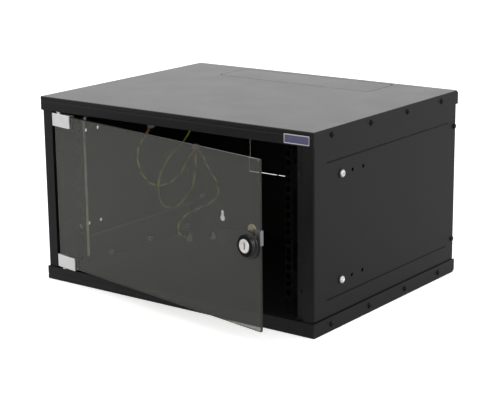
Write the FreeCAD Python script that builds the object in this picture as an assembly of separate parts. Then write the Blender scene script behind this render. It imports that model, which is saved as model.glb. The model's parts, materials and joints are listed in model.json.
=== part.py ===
import FreeCAD, Part
import math
import os

V = FreeCAD.Vector
X_AXIS = V(1, 0, 0)
Y_AXIS = V(0, 1, 0)
Z_AXIS = V(0, 0, 1)

# ---------------------------------------------------------------- driving dimensions (mm)
# The origin is the centre of the underside. +Z is up and the glass door faces -Y.
width = 600.0
depth = 470.0
height = 346.0
sheet = 1.5                 # powder-coated steel sheet
bend = 2.2                  # outer bend radius of the folded sheets
hair = 0.3                  # clearance between pieces that move past each other

# top cover and bottom tray
band = 25.0                 # height of the front band and the side flanges
rear_flange = 15.0
lip_depth = 16.0            # inward lip of the front band, which carries the door pivot
lip_end_gap = 1.0           # between the end of the lip and the post beside it
groove_inset = 9.0          # pressed line on the band, from the cover's face
groove_width = 2.4          # pressed lines of the bands and the side panels
groove_depth = 0.6
corner_relief_r = 3.0       # hole where three folds meet, at the rear corners
breakout_half = 174.0       # cable break-out plate
breakout_depth = 94.0
breakout_rear = 13.0        # from the rear edge
breakout_corner = 9.0
breakout_slit = 1.2
breakout_tab = 7.0

# side panels
post_setback = 3.0          # front of the posts behind the front of the band
post_width = 21.5
post_return = 12.0
strike_width = 15.0         # lip behind the free edge of the door, which the cam catches
line_offset = 116.5         # pressed lines above and below mid height
line_front = 40.0
line_rear = 34.0
rail_hole_pitch = 33.0      # spare fixing holes that let the rails be set further back
rail_hole_count = 3
rail_hole_offset = 91.0     # above and below mid height

# rear panel
rear_inset = 3.0            # rear face of the panel in front of the trays' rear edge
rear_side_flange = 40.0
knockout_half = 174.0       # cable knock-out plate
knockout_height = 100.0
knockout_rise = 10.0        # middle of the plate above mid height
knockout_slit = 1.2
knockout_tab = 3.5
keyhole_side = 52.0         # from the inner face of the side panel
keyhole_floor = 23.5        # centre of the round part of the lower ones, from the underside
keyhole_roof = 34.5         # and of the upper ones, from the top
keyhole_r = 6.5
keyhole_slot_r = 3.5
keyhole_rise = 14.0

# rack rails, 19 inch, 6 units
rail_sheet = 2.0
rail_setback = 25.0
rail_opening = 450.0        # clear width between the rails
rail_face = 18.0            # width of the upright with the square holes
rail_return = 13.0
rail_height = 274.0
rail_return_notch = 12.0    # at the lower end
rail_ear = 40.0             # height of the two ears that reach the side panel
rail_wing = 80.0            # the part of an ear that lies on the panel
rack_hole_span = 465.1
rack_hole = 9.5
rack_unit = 44.45
rack_units = 6
rack_steps = (6.35, 22.225, 38.1)
rail_fixing_setback = 84.0

# screws
pan_head_r = 4.8
pan_head_h = 2.6
m5_r = 2.5
m5_hole_r = 2.75
m5_length = 8.5
tray_screw_front = 54.0
tray_screw_rear = 60.0
tray_screw_count = 4
tray_screw_inset = 12.0
clinch_r = 4.2
clinch_h = 4.6
rear_screw_setback = 7.0
rear_screw_offset = 107.0
m6_r = 3.0
m6_hole_r = 3.4
m6_head_r = 6.0
m6_head_h = 3.3
m6_length = 14.0
m6_nut_flats = 10.0
cup_washer_r = 8.2          # black plastic washer under the head of a rail screw
cup_washer_h = 1.2
m6_nut_h = 5.0
washer_r = 6.2
washer_h = 1.2

# door
open_angle = 10.4
pivot_inset = 16.5          # from the edge of the opening
pivot_setback = 5.0
glass = 5.0
glass_heel = 11.0           # glass on the hinge side of the pivot
free_gap = 6.5              # between the free edge and the post, when closed
door_gap = 6.0              # between the glass and the bands, above and below
glass_corner = 2.0
clip_heel = 14.0
clip_reach = 37.0
clip_thick = 12.0
clip_height = 24.0
clip_over = 3.0             # past the edge of the glass
clip_pad = 0.5
pin_r = 2.0
pin_fit = 0.05
collar_r = 4.0
bush_flange_r = 4.8
bush_flange_h = 1.0
bush_r = 3.3
bush_seat = 0.1
bush_length = 4.0
buffer_r = 3.4
buffer_offset = 100.0

# cam lock
lock_inset = 26.0           # from the free edge of the glass
lock_drop = 1.0             # below mid height
lock_base_r = 23.5
lock_base_h = 2.0
lock_neck_r = 18.2
lock_neck_h = 7.0
lock_gasket_h = 0.8
lock_shank_r = 10.9
lock_hole_r = 11.3
lock_plug_r = 8.0
lock_plug_fit = 0.05
lock_disc_r = 13.2
lock_disc_h = 2.2
lock_washer_r = 15.0
lock_washer_h = 1.0
lock_nut_flats = 26.0
lock_nut_h = 2.2
key_slot = (2.8, 11.0, 1.6)
cam_length = 33.0
cam_width = 18.0
cam_sheet = 2.0
cam_square = 8.0
bracket_rise = 3.0          # lower end of the edge bracket above the lock
bracket_height = 25.0
bracket_sheet = 1.2

# earth bonding
lead_r = 2.0
terminal_sheet = 0.8
terminal_ring_r = 5.5
terminal_sleeve_r = 2.9
terminal_sleeve_start = 9.5
terminal_reach = 19.0
stud_length = 14.0
hub_setback = 29.0          # main stud, from the rear face of the rear panel
hub_height = 175.0          # above the underside
panel_stud_step = (-141.0, 68.0)    # from the main stud, along Y and up
cover_stud_step = (33.5, -85.0)     # from the main stud, along X and Y
tray_stud_step = (54.5, -86.0)
spare_stud_step = (85.5, -49.0)

# ---------------------------------------------------------------- planes worked out from them
front = -depth / 2
rear = depth / 2
middle = height / 2
web_out = width / 2 - sheet         # outer face of the side panels
web_in = web_out - sheet
post_in = web_out - post_width      # edge of the opening
rear_out = rear - rear_inset
rear_in = rear_out - sheet
flange_in = web_in - sheet          # inner face of the rear panel's side flanges
pivot_x = -post_in + pivot_inset
pivot_y = front + pivot_setback
glass_reach = 2 * post_in - pivot_inset - free_gap
glass_front = pivot_y - glass / 2
glass_back = pivot_y + glass / 2
glass_low = band + door_gap
glass_high = height - band - door_gap
lock_x = pivot_x + glass_reach - lock_inset
lock_z = middle - lock_drop
cam_front = glass_back + lock_washer_h + lock_nut_h + hair      # with the door closed
strike_back = cam_front - hair
bracket_low = lock_z + bracket_rise
bracket_high = bracket_low + bracket_height
knockout_low = middle + knockout_rise - knockout_height / 2
tray_screw_step = (depth - tray_screw_front - tray_screw_rear) / (tray_screw_count - 1)
tray_screw_ys = [front + tray_screw_front + i * tray_screw_step for i in range(tray_screw_count)]
rail_fixing_y = front + rail_fixing_setback


# ---------------------------------------------------------------- shared shapes
def box(x0, x1, y0, y1, z0, z1):
    """Box between two corners, given in any order."""
    lo = V(min(x0, x1), min(y0, y1), min(z0, z1))
    hi = V(max(x0, x1), max(y0, y1), max(z0, z1))
    size = hi - lo
    return Part.makeBox(size.x, size.y, size.z, lo)


def rod(start, axis, radius, length):
    return Part.makeCylinder(radius, length, start, axis)


def prism(points, travel):
    """Straight extrusion of a closed outline."""
    outline = Part.makePolygon(list(points) + [points[0]])
    return Part.Face(outline).extrude(travel)


def turned(profile, start, axis):
    """Turned piece. The profile is (distance along the axis, radius) from end to end."""
    closed = [V(r, 0, z) for z, r in profile]
    face = Part.Face(Part.makePolygon(closed + [closed[0]]))
    solid = face.revolve(V(0, 0, 0), Z_AXIS, 360)
    turn = FreeCAD.Rotation(Z_AXIS, axis)
    solid.Placement = FreeCAD.Placement(start, turn)
    return solid


def hexagon(start, axis, flats, length, bore):
    """Hexagon nut with a round bore."""
    corner = flats / math.sqrt(3)
    points = []
    for i in range(6):
        a = math.radians(60 * i)
        points.append(V(corner * math.cos(a), corner * math.sin(a), 0))
    nut = prism(points, V(0, 0, length))
    nut = nut.cut(rod(V(0, 0, 0), Z_AXIS, bore, length))
    nut.Placement = FreeCAD.Placement(start, FreeCAD.Rotation(Z_AXIS, axis))
    return nut


def ring(start, axis, outer, inner, length):
    return rod(start, axis, outer, length).cut(rod(start, axis, inner, length))


def round_edges(shape, radius, direction, places):
    """Fillet the straight edges that run along direction through the given places."""
    picked = []
    for edge in shape.Edges:
        if not isinstance(edge.Curve, Part.Line) or abs(edge.Curve.Direction.dot(direction)) < 0.999:
            continue
        for place in places:
            off = edge.CenterOfMass - place
            if (off - direction * off.dot(direction)).Length < 0.01:
                picked.append(edge)
                break
    return shape.makeFillet(radius, picked)


def mirror_x(shape):
    return shape.mirror(V(0, 0, 0), X_AXIS)


def mirror_z(shape):
    """Mirror about the mid height plane."""
    return shape.mirror(V(0, 0, middle), Z_AXIS)


def open_door(shape):
    """Swing a piece from the closed door to the angle at which the door stands."""
    swung = shape.copy()
    swung.rotate(V(pivot_x, pivot_y, 0), Z_AXIS, -open_angle)
    return swung


def save(name, *shapes):
    """Write one node. Its shapes stay separate solids."""
    solids = []
    for shape in shapes:
        solids.extend(shape.Solids)
    node = solids[0] if len(solids) == 1 else Part.makeCompound(solids)
    node.exportStep("parts/" + name + ".step")


def pan_screw(start, axis, head_r, head_h, shank_r, length):
    """Plain pan head screw. start is on the seat, axis points into the joint."""
    profile = [(0, 0), (0, head_r), (0.5 * head_h, head_r), (head_h, 0.72 * head_r), (head_h, 0)]
    screw = turned(profile, V(0, 0, 0), Z_AXIS)
    screw = screw.fuse(rod(V(0, 0, -length), Z_AXIS, shank_r, length))
    screw.Placement = FreeCAD.Placement(start, FreeCAD.Rotation(Z_AXIS, axis * -1))
    return screw


def score(shape, start, end, out):
    """Press a V line into a sheet. start and end lie on its face and out points away from it."""
    run = end - start
    side = run.cross(out).normalize() * (groove_width / 2)
    above = out * groove_depth
    outline = [start - above, start + side, start + above, start - side]
    return shape.cut(prism(outline, run))


# ---------------------------------------------------------------- top cover and bottom tray
def breakout_slits():
    """Slits round the cable break-out plate, interrupted by small tabs."""
    y_rear = rear - breakout_rear
    y_front = y_rear - breakout_depth

    def plate(grow):
        c = breakout_corner
        x = breakout_half + grow
        y0 = y_front - grow
        y1 = y_rear + grow
        points = [(-x + c, y0), (x - c, y0), (x, y0 + c), (x, y1 - c),
                  (x - c, y1), (-x + c, y1), (-x, y1 - c), (-x, y0 + c)]
        return prism([V(px, py, -sheet) for px, py in points], V(0, 0, 3 * sheet))

    slits = plate(0).cut(plate(-breakout_slit))
    half = breakout_tab / 2
    for x in (-breakout_half / 2, 0, breakout_half / 2):
        slits = slits.cut(box(x - half, x + half, y_front - 1, y_rear + 1, -2 * sheet, 3 * sheet))
    y_mid = (y_front + y_rear) / 2
    slits = slits.cut(box(-width, width, y_mid - half, y_mid + half, -2 * sheet, 3 * sheet))
    return slits


def tray():
    """Bottom tray: a plate with flanges on four sides and a lip on the front band."""
    half = width / 2
    shell = box(-half, half, front, rear, 0, band)
    shell = round_edges(shell, bend, X_AXIS, [V(0, front, 0), V(0, rear, 0)])
    hollow = box(-half + sheet, half - sheet, front + sheet, rear - sheet, sheet, 2 * band)
    shell = shell.cut(hollow)
    shell = shell.cut(box(-half + sheet, half - sheet, 0, rear + 1, rear_flange, 2 * band))
    lip_half = post_in - lip_end_gap
    shell = shell.fuse(box(-lip_half, lip_half, front, front + lip_depth, band - sheet, band))
    shell = shell.removeSplitter()
    shell = shell.cut(breakout_slits())
    for x in (sheet - half, half - sheet):
        shell = shell.cut(rod(V(x, rear - sheet, -sheet), Z_AXIS, corner_relief_r, 3 * sheet))
    for y in tray_screw_ys:
        shell = shell.cut(rod(V(-width, y, tray_screw_inset), X_AXIS, m5_hole_r, 2 * width))
    shell = shell.cut(rod(V(pivot_x, pivot_y, band - 2 * sheet), Z_AXIS, bush_r + bush_seat, 4 * sheet))
    return score(shell, V(-half, front, groove_inset), V(half, front, groove_inset), Y_AXIS * -1)


# ---------------------------------------------------------------- side panels
def side_panel(strike):
    """Right side panel: web, post and the return behind it, and the strike lip if it has one."""
    low = sheet
    high = height - sheet
    y_post = front + post_setback
    web = box(web_in, web_out, y_post, rear_in - sheet / 2, low, high)
    post = box(post_in, web_out, y_post, y_post + sheet, low, high)
    if strike:
        y_end = strike_back
        lip = box(post_in - strike_width, post_in + sheet, y_end - sheet, y_end, band, height - band)
    else:
        y_end = y_post + post_return
        lip = None
    fold = box(post_in, post_in + sheet, y_post, y_end, low, high)
    panel = web.fuse([post, fold] + ([lip] if lip else [])).removeSplitter()
    panel = round_edges(panel, bend, Z_AXIS, [V(web_out, y_post, 0)])
    for sign in (1, -1):
        z = middle + sign * line_offset
        start = V(web_out, front + line_front, z)
        end = V(web_out, rear - line_rear, z)
        panel = score(panel, start, end, X_AXIS)
        for i in range(rail_hole_count):
            y = rail_fixing_y + i * rail_hole_pitch
            hole = rod(V(0, y, middle + sign * rail_hole_offset), X_AXIS, m6_hole_r, width)
            panel = panel.cut(hole)
        hole = rod(V(0, rear_out - rear_screw_setback, middle + sign * rear_screw_offset), X_AXIS,
                   m5_hole_r, width)
        panel = panel.cut(hole)
        for y in tray_screw_ys:
            z = middle + sign * (middle - tray_screw_inset)
            panel = panel.cut(rod(V(0, y, z), X_AXIS, m5_hole_r, width))
    return panel


# ---------------------------------------------------------------- rear panel
def knockout_slits():
    """Slits round the rear cable knock-out, interrupted by small tabs."""
    x = knockout_half
    z0 = knockout_low
    z1 = knockout_low + knockout_height
    s = knockout_slit
    y0 = rear_in - sheet
    y1 = rear_out + sheet
    slits = box(-x, x, y0, y1, z0, z1).cut(box(-x + s, x - s, y0, y1, z0 + s, z1 - s))
    half = knockout_tab / 2
    for tab_x in (-0.6 * x, 0, 0.6 * x):
        slits = slits.cut(box(tab_x - half, tab_x + half, y0, y1, z0 - 1, z1 + 1))
    return slits


def keyhole(x, z):
    """Hanging hole: the head of a wall screw goes in below and the slot drops over its shank."""
    y = rear_in - sheet
    hole = rod(V(x, y, z), Y_AXIS, keyhole_r, 3 * sheet)
    r = keyhole_slot_r
    hole = hole.fuse(box(x - r, x + r, y, y + 3 * sheet, z, z + keyhole_rise))
    return hole.fuse(rod(V(x, y, z + keyhole_rise), Y_AXIS, r, 3 * sheet))


def rear_panel():
    low = sheet
    high = height - sheet
    y_flange = rear_out - rear_side_flange
    panel = box(-web_in, web_in, rear_in, rear_out, low, high)
    for sign in (1, -1):
        panel = panel.fuse(box(sign * flange_in, sign * web_in, y_flange, rear_out, low, high))
    panel = panel.removeSplitter()
    panel = round_edges(panel, bend, Z_AXIS, [V(web_in, rear_out, 0), V(-web_in, rear_out, 0)])
    panel = panel.cut(knockout_slits())
    for x in (keyhole_side - web_in, web_in - keyhole_side):
        for z in (keyhole_floor, height - keyhole_roof):
            panel = panel.cut(keyhole(x, z))
    for sign in (1, -1):
        z = middle + sign * rear_screw_offset
        panel = panel.cut(rod(V(-width, rear_out - rear_screw_setback, z), X_AXIS, m5_hole_r, 2 * width))
    return panel


# ---------------------------------------------------------------- rack rails
def rack_rail():
    """Right rail: a slim channel with the square rack holes, and two ears folded onto the side panel."""
    low = middle - rail_height / 2
    high = middle + rail_height / 2
    y0 = front + rail_setback
    x_in = rail_opening / 2
    face = box(x_in, x_in + rail_face, y0, y0 + rail_sheet, low, high)
    flange = box(x_in, x_in + rail_sheet, y0, y0 + rail_return, low + rail_return_notch, high)
    ears = []
    for sign in (1, -1):
        z = middle + sign * rail_hole_offset
        z0 = z - rail_ear / 2
        z1 = z + rail_ear / 2
        ears.append(box(x_in, web_in, y0, y0 + rail_sheet, z0, z1))
        ears.append(box(web_in - rail_sheet, web_in, y0, y0 + rail_wing, z0, z1))
    rail = face.fuse([flange] + ears).removeSplitter()
    rail = round_edges(rail, bend, Z_AXIS, [V(web_in, y0, 0), V(x_in, y0, 0)])
    first = middle - rack_units * rack_unit / 2
    x_hole = rack_hole_span / 2
    side = rack_hole / 2
    for unit in range(rack_units):
        for step in rack_steps:
            z = first + unit * rack_unit + step
            hole = box(x_hole - side, x_hole + side, y0 - 1, y0 + 2 * rail_sheet, z - side, z + side)
            rail = rail.cut(hole)
    for sign in (1, -1):
        z = middle + sign * rail_hole_offset
        hole = rod(V(web_in - 2 * rail_sheet, rail_fixing_y, z), X_AXIS, m6_hole_r, 4 * rail_sheet)
        rail = rail.cut(hole)
    return rail


# ---------------------------------------------------------------- fasteners of the cabinet
def tray_screws(z):
    """The four screws on each side that hold one tray."""
    screws = []
    for y in tray_screw_ys:
        for sign in (1, -1):
            seat = V(sign * width / 2, y, z)
            screws.append(pan_screw(seat, X_AXIS * -sign, pan_head_r, pan_head_h, m5_r, m5_length))
    return screws


def clinch_nut(seat, inward):
    """Round press nut on the inner face of a sheet."""
    return ring(seat, inward, clinch_r, m5_hole_r, clinch_h)


def clinch_nuts():
    nuts = []
    for sign in (1, -1):
        inward = X_AXIS * -sign
        for y in tray_screw_ys:
            for z in (tray_screw_inset, height - tray_screw_inset):
                nuts.append(clinch_nut(V(sign * web_in, y, z), inward))
        for up in (1, -1):
            z = middle + up * rear_screw_offset
            nuts.append(clinch_nut(V(sign * flange_in, rear_out - rear_screw_setback, z), inward))
    return nuts


def rear_screws():
    screws = []
    for sign in (1, -1):
        for up in (1, -1):
            seat = V(sign * web_out, rear_out - rear_screw_setback, middle + up * rear_screw_offset)
            screws.append(pan_screw(seat, X_AXIS * -sign, pan_head_r, pan_head_h, m5_r, m5_length))
    return screws


def rail_fixings():
    """Screw, plastic washer, washer and nut at each of the four rail fixings."""
    screws = []
    cups = []
    washers = []
    nuts = []
    for sign in (1, -1):
        inward = X_AXIS * -sign
        for up in (1, -1):
            z = middle + up * rail_hole_offset
            outside = V(sign * web_out, rail_fixing_y, z)
            inside = V(sign * (web_in - rail_sheet), rail_fixing_y, z)
            under_head = outside - inward * cup_washer_h
            screws.append(pan_screw(under_head, inward, m6_head_r, m6_head_h, m6_r, m6_length))
            cups.append(ring(under_head, inward, cup_washer_r, m6_hole_r, cup_washer_h))
            washers.append(ring(inside, inward, washer_r, m6_hole_r, washer_h))
            nuts.append(hexagon(inside + inward * washer_h, inward, m6_nut_flats, m6_nut_h, m6_r + 0.05))
    return screws, cups, washers, nuts


# ---------------------------------------------------------------- door
def hinge_clip():
    """Upper glass clip: a cast block with a slot for the glass and its pads."""
    half = clip_thick / 2
    top = glass_high + clip_over
    clip = box(pivot_x - clip_heel, pivot_x + clip_reach, pivot_y - half, pivot_y + half,
               top - clip_height, top)
    front_face = pivot_y - half
    clip = round_edges(clip, 1.6, Z_AXIS, [V(pivot_x - clip_heel, front_face, 0),
                                           V(pivot_x - clip_heel, pivot_y + half, 0),
                                           V(pivot_x + clip_reach, front_face, 0)])
    clip = round_edges(clip, 1.0, X_AXIS, [V(0, front_face, top), V(0, front_face, top - clip_height)])
    slot = glass / 2 + clip_pad
    clip = clip.cut(box(pivot_x - glass_heel - hair, pivot_x + 2 * clip_reach, pivot_y - slot,
                        pivot_y + slot, top - 2 * clip_height, glass_high + hair))
    clip = clip.cut(rod(V(pivot_x, pivot_y, glass_high), Z_AXIS, pin_r + pin_fit, clip_height))
    for x, z in clip_screw_places():
        clip = clip.cut(rod(V(x, pivot_y, z), Y_AXIS, m5_r + pin_fit, clip_thick))
    return clip


def clip_screw_places():
    z = glass_high + clip_over - clip_height / 2 - 1.5
    return [(pivot_x + 2.0, z), (pivot_x + 24.0, z)]


def clip_pads():
    """Soft pads between the upper clip and both faces of the glass."""
    pads = []
    low = glass_high + clip_over - clip_height + 1.5
    high = glass_high - 1.5
    x0 = pivot_x - glass_heel + 2.0
    x1 = pivot_x + clip_reach - 1.5
    pads.append(box(x0, x1, glass_front - clip_pad, glass_front, low, high))
    pads.append(box(x0, x1, glass_back, glass_back + clip_pad, low, high))
    return pads


def clip_screws():
    """Grub screws that press the rear pad against the glass, with a hexagon socket."""
    screws = []
    start = glass_back + clip_pad
    length = clip_thick / 2 - glass / 2 - clip_pad
    for x, z in clip_screw_places():
        screw = rod(V(x, start, z), Y_AXIS, m5_r, length)
        socket = hexagon(V(x, start + length / 3, z), Y_AXIS, 2.5, length, 0.01)
        screws.append(screw.cut(socket))
    return screws


def pivot_pin():
    """Upper pivot pin with its collar, riveted into the clip."""
    seat = glass_high + clip_over
    collar = door_gap - clip_over - bush_flange_h - hair
    reach = height - band + bush_length
    pin = rod(V(pivot_x, pivot_y, glass_high + hair), Z_AXIS, pin_r, reach - glass_high - hair)
    return pin.fuse(rod(V(pivot_x, pivot_y, seat), Z_AXIS, collar_r, collar))


def pivot_bush():
    """Flanged plastic bush in the lip of the top cover."""
    lip = height - band
    bush = rod(V(pivot_x, pivot_y, lip - bush_flange_h), Z_AXIS, bush_flange_r, bush_flange_h)
    bush = bush.fuse(rod(V(pivot_x, pivot_y, lip), Z_AXIS, bush_r, bush_length))
    return bush.cut(rod(V(pivot_x, pivot_y, lip - 2), Z_AXIS, pin_r + pin_fit, 2 * bush_length))


def door_glass():
    """Toughened glass with eased edges and a hole for the lock."""
    pane = box(pivot_x - glass_heel, pivot_x + glass_reach, glass_front, glass_back, glass_low, glass_high)
    corners = []
    for x in (pivot_x - glass_heel, pivot_x + glass_reach):
        for z in (glass_low, glass_high):
            corners.append(V(x, 0, z))
    pane = round_edges(pane, glass_corner, Y_AXIS, corners)
    rim = [e for e in pane.Edges if abs(e.CenterOfMass.y - pivot_y) > glass / 2 - 0.01]
    pane = pane.makeChamfer(0.6, rim)
    return pane.cut(rod(V(lock_x, glass_front - 1, lock_z), Y_AXIS, lock_hole_r, glass + 2))


def door_buffers():
    """Felt discs on the strike lip, which the closed door rests on."""
    x = pivot_x + glass_reach - buffer_r - 0.6
    seat = strike_back - sheet
    thick = seat - glass_back - hair
    return [rod(V(x, seat - thick, middle + s * buffer_offset), Y_AXIS, buffer_r, thick) for s in (1, -1)]


# ---------------------------------------------------------------- lock
def out_of_door(distance):
    """Point on the lock's axis, at a distance in front of the glass. Negative is behind it."""
    return V(lock_x, glass_front - distance, lock_z)


lock_face = lock_gasket_h + lock_base_h + lock_neck_h
nut_seat = -glass - lock_washer_h
shank_end = nut_seat - lock_nut_h
cam_seat = shank_end - hair


def lock_body():
    """Moulded lock case: rosette, raised neck and threaded shank, bored for the plug."""
    base = lock_gasket_h + lock_base_h
    bore = lock_plug_r + lock_plug_fit
    profile = [(shank_end, bore), (shank_end, lock_shank_r), (lock_gasket_h, lock_shank_r),
               (lock_gasket_h, lock_base_r), (base - 0.7, lock_base_r), (base, lock_base_r - 0.9),
               (base, lock_neck_r + 0.6), (lock_face - 1.0, lock_neck_r), (lock_face, lock_neck_r - 1.0),
               (lock_face, bore)]
    return turned(profile, out_of_door(0), Y_AXIS * -1)


def lock_barrel():
    """Plug that the key turns: a chromed disc in front, the plug, and a square tail for the cam."""
    disc = lock_face + hair
    top = disc + lock_disc_h
    profile = [(cam_seat, 0), (cam_seat, lock_plug_r), (disc, lock_plug_r), (disc, lock_disc_r),
               (top - 0.9, lock_disc_r), (top, lock_disc_r - 1.1), (top, 0)]
    barrel = turned(profile, out_of_door(0), Y_AXIS * -1)
    w, h, d = key_slot
    tip = out_of_door(top)
    keyway = box(tip.x - w / 2, tip.x + w / 2, tip.y - 1, tip.y + d, tip.z - h / 2, tip.z + h / 2)
    barrel = barrel.cut(keyway)
    seat = out_of_door(cam_seat)
    q = cam_square / 2
    barrel = barrel.fuse(box(seat.x - q, seat.x + q, seat.y, seat.y + cam_sheet, seat.z - q, seat.z + q))
    return barrel.cut(rod(seat, Y_AXIS, 1.65, cam_sheet + 1)).cut(rod(seat, Y_AXIS * -1, 1.65, 6))


def lock_cam():
    """Cam plate: round end up while unlocked."""
    seat = out_of_door(cam_seat)
    r = cam_width / 2
    cam = rod(seat, Y_AXIS, r + 1.0, cam_sheet)
    cam = cam.fuse(box(seat.x - r, seat.x + r, seat.y, seat.y + cam_sheet, seat.z,
                       seat.z + cam_length - r))
    cam = cam.fuse(rod(seat + V(0, 0, cam_length - r), Y_AXIS, r, cam_sheet)).removeSplitter()
    q = cam_square / 2 + 0.05
    return cam.cut(box(seat.x - q, seat.x + q, seat.y - 1, seat.y + 2 * cam_sheet, seat.z - q, seat.z + q))


def cam_screw():
    seat = out_of_door(cam_seat - cam_sheet)
    return pan_screw(seat, Y_AXIS * -1, 5.4, 2.4, 1.6, 6.5)


def edge_bracket():
    """Angle on the free edge of the glass, with an ear behind the lock."""
    x1 = pivot_x + glass_reach + bracket_sheet
    y1 = glass_back + bracket_sheet
    edge = box(x1 - bracket_sheet, x1, glass_front, y1, bracket_low, bracket_high)
    leg = box(x1 - 11.0, x1, glass_back, y1, bracket_low, bracket_high)
    ear = box(x1 - 21.0, x1, glass_back, y1, bracket_high - 11.0, bracket_high)
    bracket = edge.fuse([leg, ear]).removeSplitter()
    return round_edges(bracket, 3.0, Y_AXIS, [V(x1 - 21.0, 0, bracket_high), V(x1 - 11.0, 0, bracket_low)])


def bracket_rivet():
    seat = V(pivot_x + glass_reach - 14.5, glass_back + bracket_sheet, bracket_high - 5.5)
    profile = [(0, 0), (0, 2.6), (0.4, 2.4), (0.8, 1.2), (0.8, 0)]
    return turned(profile, seat, Y_AXIS)


# ---------------------------------------------------------------- earth bonding
def terminal(seat, away, direction, level):
    """Ring terminal at a height on its stud, with its insulated sleeve towards the lead."""
    base = seat + away * level
    side = away.cross(direction)
    eye = rod(base, away, terminal_ring_r, terminal_sheet)
    w = 2.2
    tongue = [base + side * w, base + side * -w,
              base + side * -w + direction * (terminal_sleeve_start + 2),
              base + side * w + direction * (terminal_sleeve_start + 2)]
    body = eye.fuse(prism(tongue, away * terminal_sheet))
    sleeve = rod(base + direction * terminal_sleeve_start + away * terminal_sleeve_r, direction,
                 terminal_sleeve_r, terminal_reach - terminal_sleeve_start)
    body = body.fuse(sleeve)
    return body.cut(rod(base - away, away, m6_r + 0.1, terminal_sheet + 2))


def lead_end(seat, away, direction, level):
    """Centre of the sleeve's open end, where the lead starts."""
    return seat + away * (level + terminal_sleeve_r) + direction * terminal_reach


def lead(points):
    """Round lead along straight runs joined by tangent arcs. Returns it, its length and its radii."""
    runs = [points[i + 1] - points[i] for i in range(len(points) - 1)]
    edges = []
    radii = []
    here = points[0]
    for i in range(1, len(points) - 1):
        turn = runs[i - 1].getAngle(runs[i])
        cut = 0.45 * min(runs[i - 1].Length, runs[i].Length)
        radius = cut / math.tan(turn / 2)
        ahead = V(runs[i - 1]).normalize()
        onward = V(runs[i]).normalize()
        start = points[i] - ahead * cut
        end = points[i] + onward * cut
        inward = (onward - ahead).normalize()
        mid = points[i] + inward * (radius / math.cos(turn / 2) - radius)
        edges.append(Part.LineSegment(here, start).toShape())
        edges.append(Part.Arc(start, mid, end).toShape())
        radii.append(radius)
        here = end
    edges.append(Part.LineSegment(here, points[-1]).toShape())
    path = Part.Wire(edges)
    section = Part.Wire(Part.Circle(points[0], runs[0], lead_r).toShape())
    return path.makePipeShell([section], True, False), path.Length, radii


def stud(seat, away):
    return rod(seat, away, m6_r, stud_length)


def slant(y, z):
    """Unit direction in the plane of the side panels."""
    return V(0, y, z).normalize()


hub = V(-flange_in, rear_out - hub_setback, hub_height)
panel_seat = V(-web_in, hub.y + panel_stud_step[0], hub.z + panel_stud_step[1])
cover_seat = V(hub.x + cover_stud_step[0], hub.y + cover_stud_step[1], height - sheet)
tray_seat = V(hub.x + tray_stud_step[0], hub.y + tray_stud_step[1], sheet)
spare_seat = V(hub.x + spare_stud_step[0], hub.y + spare_stud_step[1], sheet)
down = Z_AXIS * -1
first_level = washer_h
hub_levels = [washer_h + i * terminal_sheet for i in range(3)]

# each lead: stud, direction off the panel, way towards the lead and height, at both ends
lead_ends = {
    "side_panel_lead": [(hub, X_AXIS, slant(-0.77, -0.64), hub_levels[0]),
                        (panel_seat, X_AXIS, slant(-0.69, -0.72), first_level)],
    "top_cover_lead": [(hub, X_AXIS, slant(-0.05, -1.0), hub_levels[1]),
                       (cover_seat, down, V(0, 1, 0), first_level)],
    "bottom_tray_lead": [(hub, X_AXIS, slant(0.69, -0.72), hub_levels[2]),
                         (tray_seat, Z_AXIS, V(-0.97, 0.24, 0).normalize(), first_level)],
}

# points between the two ends, from the main stud along X and Y and from the underside up. They
# are chosen by hand for the way the lead hangs. The cover's lead ends a drop below the roof.
roof = height - sheet
lead_routes = {
    "side_panel_lead": [
        (4.1, -30, 150), (7.5, -54, 130), (8.5, -85, 118.5), (8.5, -117, 116.5), (8.5, -145, 124),
        (8, -167, 141), (7.5, -183, 165), (6.5, -186, 190), (4.5, -178, 208.5), (2.6, -164.6, 218.4)],
    "top_cover_lead": [
        (4.9, -2, 138), (9.5, -10, 117), (15.5, -27, 97), (18.5, -51, 80), (20.5, -79, 70.5),
        (20.5, -107, 69), (20.5, -130, 80), (20.5, -141.5, 103), (20, -140.5, 131),
        (20.5, -127, 157), (21.5, -104, 178), (21.5, -75, 194), (23.5, -48, 212),
        (26.5, -32, 240), (29.5, -27, roof - 74.5), (31.5, -26.5, roof - 44.5),
        (33, -33, roof - 18.5), (33.5, -50, roof - 4.1)],
    "bottom_tray_lead": [
        (5.7, 22.8, 151.2), (12.5, 23, 136), (27.5, 22, 119), (44.5, 20, 101), (55.5, 12, 81),
        (52.5, -5, 66), (39.5, -26, 57.5), (25.5, -47, 49.5), (14.5, -63, 37.5),
        (11.5, -74, 18.5), (20.5, -77.6, 5.6)],
}


# ---------------------------------------------------------------- the nodes
os.makedirs("parts", exist_ok=True)

save("bottom_tray", tray())
save("top_cover", mirror_z(tray()))
save("right_side_panel", side_panel(True))
save("left_side_panel", mirror_x(side_panel(False)))
save("rear_panel", rear_panel())
save("right_rack_rail", rack_rail())
save("left_rack_rail", mirror_x(rack_rail()))

save("bottom_tray_screws", *tray_screws(tray_screw_inset))
save("top_cover_screws", *tray_screws(height - tray_screw_inset))
save("rear_panel_screws", *rear_screws())
save("clinch_nuts", *clinch_nuts())
rail_screws, rail_cups, rail_washers, rail_nuts = rail_fixings()
save("rail_screws", *rail_screws)
save("rail_cup_washers", *rail_cups)
save("rail_washers", *rail_washers)
save("rail_nuts", *rail_nuts)
save("upper_pivot_bush", pivot_bush())
save("lower_pivot_bush", mirror_z(pivot_bush()))
save("door_buffers", *door_buffers())

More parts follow.
